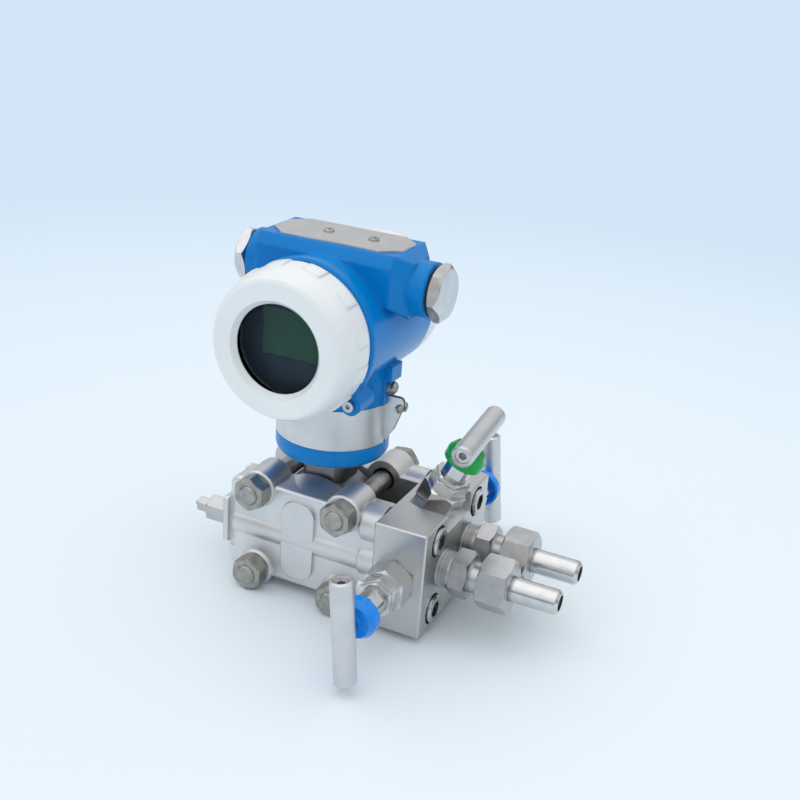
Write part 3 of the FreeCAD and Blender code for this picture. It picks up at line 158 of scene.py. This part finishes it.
def painted_shade_steel():
    """Sensor cell: steel painted dark as painted shade, standing in for the shadow between the flanges.
    """
    # painted shade: the dark base colour and its range stand in for the shadow between the flanges
    shader = Shader("painted_shade_steel", (0.30, 0.30, 0.31), 0.45, metallic=1.0)
    shader.rounded(0.4 * MM)
    clouds = shader.noise(60.0, 4.0)
    shader.colour_varies(clouds, (0.24, 0.24, 0.25), (0.36, 0.36, 0.37))
    shader.roughness_varies(clouds, 0.38, 0.52)
    shader.bumped(shader.noise(1100.0, 2.0), 0.02 * MM, 0.3)
    return shader.material


def machined_steel():
    """Hexagons and fittings as they come off the machine: grey, with a soft sheen."""
    shader = Shader("machined_steel", (0.52, 0.52, 0.52), 0.32, metallic=1.0)
    shader.rounded(0.25 * MM)
    clouds = shader.noise(140.0, 3.0)
    shader.colour_varies(clouds, (0.47, 0.47, 0.475), (0.57, 0.57, 0.57))
    shader.roughness_varies(clouds, 0.27, 0.38)
    shader.bumped(shader.noise(1.0, 2.0, shader.stretched((2200, 90, 90))), 0.012 * MM, 0.25)
    return shader.material


def bright_steel():
    """Polished hexagons and turned fittings with crisp reflections."""
    shader = Shader("bright_steel", (0.50, 0.50, 0.50), 0.16, metallic=1.0)
    shader.rounded(0.25 * MM)
    clouds = shader.noise(160.0, 3.0)
    shader.colour_varies(clouds, (0.58, 0.58, 0.585), (0.68, 0.68, 0.68))
    shader.roughness_varies(clouds, 0.13, 0.23)
    shader.bumped(shader.noise(900.0, 2.0), 0.01 * MM, 0.2)
    return shader.material


def satin_steel(name="satin_steel", along=(40, 40, 2400)):
    """Rolled or ground bar and sheet with a soft sheen and fine grain."""
    shader = Shader(name, (0.56, 0.56, 0.57), 0.38, metallic=1.0)
    shader.rounded(0.25 * MM)
    grain = shader.noise(1.0, 3.0, shader.stretched(along))
    clouds = shader.noise(70.0, 3.0)
    shader.colour_varies(clouds, (0.62, 0.62, 0.63), (0.70, 0.70, 0.71))
    shader.roughness_varies(grain, 0.32, 0.46)
    shader.bumped(grain, 0.015 * MM, 0.3)
    return shader.material


def cast_steel():
    """Bead-blasted casting: even satin grey with a fine grain."""
    shader = Shader("cast_steel", (0.60, 0.60, 0.605), 0.48, metallic=1.0)
    shader.rounded(1.0 * MM)
    clouds = shader.noise(38.0, 4.0)
    shader.colour_varies(clouds, (0.64, 0.64, 0.645), (0.80, 0.80, 0.80))
    shader.roughness_varies(clouds, 0.38, 0.52)
    shader.bumped(shader.noise(1500.0, 2.0), 0.04 * MM, 0.35)
    return shader.material


def plated_steel():
    """Nickel-plated bolts and nuts, a little warmer and duller than the fittings."""
    shader = Shader("plated_steel", (0.40, 0.395, 0.36), 0.30, metallic=1.0)
    shader.rounded(0.3 * MM)
    clouds = shader.noise(260.0, 4.0)
    shader.colour_varies(clouds, (0.30, 0.295, 0.262), (0.48, 0.475, 0.44))
    shader.roughness_varies(clouds, 0.34, 0.48)
    shader.bumped(shader.noise(1200.0, 2.0), 0.02 * MM, 0.3)
    return shader.material


def blue_enamel():
    """Gloss enamel over a casting, with faint orange peel."""
    shader = Shader("blue_enamel", (0.0, 0.19, 0.56), 0.26, coat=0.12)
    shader.principled.inputs["Specular IOR Level"].default_value = 0.15
    shader.rounded(3.0 * MM)
    clouds = shader.noise(22.0, 3.0)
    shader.colour_varies(clouds, (0.0, 0.205, 0.585), (0.0, 0.24, 0.665))
    shader.bumped(shader.noise(420.0, 2.0), 0.03 * MM, 0.18)
    return shader.material


def white_enamel():
    """White enamel with sloping grips round the display cover and a pebbled ring round its window."""
    shader = Shader("white_enamel", (0.80, 0.83, 0.84), 0.36, coat=0.3, coat_roughness=0.2)
    shader.rounded(0.35 * MM)
    clouds = shader.noise(30.0, 3.0)
    shader.colour_varies(clouds, (0.85, 0.875, 0.88), (0.90, 0.925, 0.93))
    split = shader.node("ShaderNodeSeparateXYZ")
    shader.link(shader.coordinates, split.inputs["Vector"])
    depth = split.outputs["Y"]
    front = COVER_LOW[1]
    across = shader.maths("SUBTRACT", split.outputs["X"], (COVER_LOW[0] + COVER_HIGH[0]) / 2)
    upward = shader.maths("SUBTRACT", split.outputs["Z"], (COVER_LOW[2] + COVER_HIGH[2]) / 2)
    angle = shader.maths("ARCTAN2", upward, across)
    wave = shader.maths("COSINE", shader.maths("MULTIPLY", angle, GRIP_COUNT))
    grips = shader.spread(wave, 1.0, 0.0, -0.55, 0.35)
    shoulder = shader.spread(depth, 0.0, 1.0, front + GRIP_SHOULDER[0], front + GRIP_SHOULDER[1])
    rim = shader.spread(depth, 1.0, 0.0, front + GRIP_RIM[0], front + GRIP_RIM[1])
    band = shader.maths("MULTIPLY", grips, shoulder)
    shader.bumped(shader.maths("MULTIPLY", band, rim), 1.0 * MM, 0.9)
    ring = shader.spread(depth, 1.0, 0.12, front, front + RING_EDGE)
    shader.bumped(shader.maths("MULTIPLY", shader.noise(850.0, 2.0), ring), 0.10 * MM, 0.5)
    return shader.material


def plastic(name, colour, roughness=0.25):
    """Moulded plastic with a slight sheen and a trace of flow marks."""
    shader = Shader(name, colour, roughness, coat=0.15)
    shader.principled.inputs["Specular IOR Level"].default_value = 0.35
    shader.rounded(0.3 * MM)
    clouds = shader.noise(120.0, 2.0)
    shader.colour_varies(clouds, scaled(colour, 0.88), scaled(colour, 1.1))
    shader.bumped(shader.noise(800.0, 1.0), 0.01 * MM, 0.2)
    return shader.material


def seal_rubber():
    """Matt black rubber of the seals."""
    shader = Shader("seal_rubber", (0.018, 0.018, 0.019), 0.6)
    clouds = shader.noise(300.0, 3.0)
    shader.colour_varies(clouds, (0.012, 0.012, 0.013), (0.03, 0.03, 0.031))
    shader.bumped(clouds, 0.03 * MM, 0.4)
    return shader.material


def white_ptfe():
    """Off-white fluoropolymer of the flat seals and packings."""
    shader = Shader("ptfe", (0.82, 0.81, 0.77), 0.5)
    clouds = shader.noise(200.0, 3.0)
    shader.colour_varies(clouds, (0.78, 0.77, 0.73), (0.84, 0.83, 0.80))
    return shader.material


def window_glass():
    """Thick clear glass with a faint cool tint and a low-reflection finish."""
    shader = Shader("window_glass", (0.80, 0.92, 0.97), 0.02)
    shader.principled.inputs["Transmission Weight"].default_value = 1.0
    shader.principled.inputs["IOR"].default_value = 1.2
    clouds = shader.noise(40.0, 1.0)
    shader.colour_varies(clouds, (0.78, 0.90, 0.95), (0.84, 0.94, 0.98))
    return shader.material


def screen_glass():
    """Reflective display that is switched off: a dark grey-green field."""
    shader = Shader("screen_glass", (0.022, 0.085, 0.045), 0.30)
    shader.principled.inputs["Specular IOR Level"].default_value = 0.2
    clouds = shader.noise(35.0, 2.0)
    shader.colour_varies(clouds, (0.018, 0.074, 0.040), (0.026, 0.096, 0.052))
    return shader.material


def display_black():
    """Dark plastic round the screen, seen through the cool glass."""
    shader = Shader("display_black", (0.008, 0.024, 0.045), 0.35)
    shader.principled.inputs["Specular IOR Level"].default_value = 0.2
    clouds = shader.noise(90.0, 2.0)
    shader.colour_varies(clouds, (0.006, 0.020, 0.040), (0.010, 0.028, 0.050))
    shader.bumped(shader.noise(1100.0, 1.0), 0.02 * MM, 0.2)
    return shader.material


def circuit_board():
    """Green board under solder varnish."""
    shader = Shader("circuit_board", (0.02, 0.15, 0.07), 0.4, coat=0.4)
    clouds = shader.noise(90.0, 4.0)
    shader.colour_varies(clouds, (0.01, 0.10, 0.045), (0.03, 0.19, 0.09))
    return shader.material


def socket_steel():
    """Bright socket screws in their counterbores."""
    shader = Shader("socket_steel", (0.55, 0.55, 0.55), 0.24, metallic=1.0)
    shader.rounded(0.3 * MM)
    clouds = shader.noise(220.0, 3.0)
    shader.colour_varies(clouds, (0.46, 0.46, 0.46), (0.62, 0.62, 0.62))
    shader.roughness_varies(clouds, 0.18, 0.32)
    return shader.material


MATERIALS = {
    "milled": milled_steel(),
    "painted_shade": painted_shade_steel(),
    "machined": machined_steel(),
    "bright": bright_steel(),
    "satin": satin_steel(),
    "sheet": satin_steel("sheet_steel", (2400, 40, 40)),
    "cast": cast_steel(),
    "plated": plated_steel(),
    "socket": socket_steel(),
    "enamel": blue_enamel(),
    "white": white_enamel(),
    "blue_cap": plastic("blue_cap_plastic", (0.004, 0.27, 0.90), 0.22),
    "green_cap": plastic("green_cap_plastic", (0.0, 0.38, 0.06), 0.22),
    "rubber": seal_rubber(),
    "ptfe": white_ptfe(),
    "glass": window_glass(),
    "screen": screen_glass(),
    "black": display_black(),
    "board": circuit_board(),
}

FINISH = {
    "milled": ("manifold_block",),
    "machined": ("adapter_front", "adapter_rear", "union_nut_front", "union_nut_rear", "vent_seat_front",
                 "vent_seat_rear", "vent_screw_front", "vent_screw_rear"),
    # the sensor cell's dark steel is painted shade
    "painted_shade": ("sensor_capsule",),
    "bright": ("bonnet_front", "bonnet_rear", "bonnet_top", "bonnet_lock_nuts", "packing_glands",
               "stem_front", "stem_rear", "stem_top", "weld_nipple_front", "weld_nipple_rear",
               "conduit_plug_left", "conduit_plug_right", "isolating_diaphragms", "window_retainer"),
    "satin": ("handle_front", "handle_rear", "handle_top", "label_band"),
    "sheet": ("nameplate",),
    "cast": ("flange_front", "flange_rear"),
    "plated": ("flange_bolts", "flange_nuts", "band_screw", "ground_screw", "nameplate_screws",
               "terminal_screws"),
    "socket": ("manifold_screws", "cover_lock_screws"),
    "enamel": ("housing",),
    "white": ("front_cover", "rear_cover"),
    "blue_cap": ("valve_cap_front", "valve_cap_rear"),
    "green_cap": ("valve_cap_top",),
    "rubber": ("spigot_oring", "plug_seals", "window_gasket", "front_cover_oring", "rear_cover_oring"),
    "ptfe": ("port_seals", "valve_packings", "capsule_seals"),
    "glass": ("window_glass",),
    "screen": ("display_screen",),
    "black": ("display_module", "terminal_block"),
    "board": ("electronics_board",),
}


def dress_nodes():
    """Gives every CAD node the one material it is made of."""
    for finish, names in FINISH.items():
        for name in names:
            mesh = nodes[name].data
            mesh.materials.clear()
            mesh.materials.append(MATERIALS[finish])


dress_nodes()


# ---------------------------------------------------------------- stage
# painted light: the floor is painted lighter close to the object, a painted pool of light that lifts its
# shadow
FLOOR_NEAR_PAINTED_LIGHT = (0.845, 0.925, 0.98)
FLOOR_FAR = (0.63, 0.765, 0.895)
FLOOR_FADE = (0.15, 1.0)        # the painted pool of light near the object runs into the far colour between these distances
FLOOR_HALF_WIDTH = 12.0
BACKDROP_COLOUR = (0.66, 0.80, 0.925)
STUDIO_STRENGTH = 0.91
STUDIO_STOPS = (                # share of the way from straight down to straight up, and the grey there
    (0.0, 0.70),
    (1.0, 1.30),
    (0.50, 0.36),
    (0.58, 0.42),
    (0.67, 0.84),
    (0.76, 0.88),
    (0.84, 0.90),
    (0.91, 1.20),
)
STUDIO_TINT = 0.015             # the studio is cooler than grey by this share
LAMP_DIRECTION = (0.55, 0.35, -1.0)
LAMP_STRENGTH = 0.45
LAMP_SOFTNESS = 90


def build_floor():
    """A sheet at the object's lowest point that keeps its shadow, painted lighter near the object as a
    painted pool of light.
    """
    mesh = bpy.data.meshes.new("floor")
    half = FLOOR_HALF_WIDTH
    corners = [(-half, -half, 0), (half, -half, 0), (half, half, 0), (-half, half, 0)]
    mesh.from_pydata(corners, [], [(0, 1, 2, 3)])
    floor = bpy.data.objects.new("floor", mesh)
    bpy.context.scene.collection.objects.link(floor)
    floor.location = (0, 0, cad_box[0][2])
    shader = Shader("floor_paper", FLOOR_NEAR_PAINTED_LIGHT, 0.8)
    shader.principled.inputs["Specular IOR Level"].default_value = 0.1
    distance = shader.node("ShaderNodeVectorMath", operation="LENGTH")
    shader.link(shader.coordinates, distance.inputs[0])
    # painted light: lighter near the object, fading to the far colour further out
    shader.colour_varies(distance.outputs["Value"], FLOOR_NEAR_PAINTED_LIGHT, FLOOR_FAR, *FLOOR_FADE)
    mesh.materials.append(shader.material)


def build_world():
    """Pale surroundings: plain for the camera, a soft studio with darker bands for reflections."""
    world = bpy.data.worlds.new("studio")
    bpy.context.scene.world = world
    world.use_nodes = True
    tree = world.node_tree
    tree.nodes.clear()
    output = tree.nodes.new("ShaderNodeOutputWorld")
    plain = tree.nodes.new("ShaderNodeBackground")
    plain.inputs["Color"].default_value = (*BACKDROP_COLOUR, 1)
    studio = tree.nodes.new("ShaderNodeBackground")
    coordinates = tree.nodes.new("ShaderNodeTexCoord")
    split = tree.nodes.new("ShaderNodeSeparateXYZ")
    tree.links.new(coordinates.outputs["Generated"], split.inputs["Vector"])
    ramp = tree.nodes.new("ShaderNodeValToRGB")
    height = tree.nodes.new("ShaderNodeMapRange")
    height.inputs["From Min"].default_value = -1.0
    tree.links.new(split.outputs["Z"], height.inputs["Value"])
    tree.links.new(height.outputs["Result"], ramp.inputs["Fac"])
    elements = ramp.color_ramp.elements
    for index, (place, grey) in enumerate(STUDIO_STOPS):
        element = elements[index] if index < 2 else elements.new(place)
        element.position = place
        element.color = (grey * (1 - STUDIO_TINT), grey, grey * (1 + STUDIO_TINT), 1)
    tree.links.new(ramp.outputs["Color"], studio.inputs["Color"])
    studio.inputs["Strength"].default_value = STUDIO_STRENGTH
    path = tree.nodes.new("ShaderNodeLightPath")
    mix = tree.nodes.new("ShaderNodeMixShader")
    tree.links.new(path.outputs["Is Camera Ray"], mix.inputs["Fac"])
    tree.links.new(studio.outputs["Background"], mix.inputs[1])
    tree.links.new(plain.outputs["Background"], mix.inputs[2])
    tree.links.new(mix.outputs["Shader"], output.inputs["Surface"])


def build_lamp():
    """One wide soft lamp from above, in front and to the left."""
    lamp = bpy.data.lights.new("overhead", "SUN")
    lamp.energy = LAMP_STRENGTH
    lamp.angle = math.radians(LAMP_SOFTNESS)
    holder = bpy.data.objects.new("overhead", lamp)
    holder.rotation_euler = (-Vector(LAMP_DIRECTION)).to_track_quat("Z", "Y").to_euler()
    bpy.context.scene.collection.objects.link(holder)


CAMERA_PLACE = Vector((0.2062, -0.5357, 0.3560))
CAMERA_AZIMUTH = 23.39          # degrees the camera stands towards the process side
CAMERA_ELEVATION = 22.59        # degrees it looks down
CAMERA_ROLL = 4.73
CAMERA_LENS = 52.87
CAMERA_SENSOR = 36.0


def build_camera():
    azimuth = math.radians(CAMERA_AZIMUTH)
    elevation = math.radians(CAMERA_ELEVATION)
    forward = Vector((-math.sin(azimuth) * math.cos(elevation),
                      math.cos(azimuth) * math.cos(elevation),
                      -math.sin(elevation)))
    camera = bpy.data.cameras.new("camera")
    camera.lens = CAMERA_LENS
    camera.sensor_width = CAMERA_SENSOR
    holder = bpy.data.objects.new("camera", camera)
    level = forward.to_track_quat("-Z", "Y").to_matrix()
    roll = Matrix.Rotation(math.radians(CAMERA_ROLL), 3, "Z")
    holder.matrix_world = Matrix.Translation(CAMERA_PLACE) @ (level @ roll).to_4x4()
    bpy.context.scene.collection.objects.link(holder)
    bpy.context.scene.camera = holder


build_floor()
build_world()
build_lamp()
build_camera()
bpy.context.scene.view_settings.view_transform = "Standard"
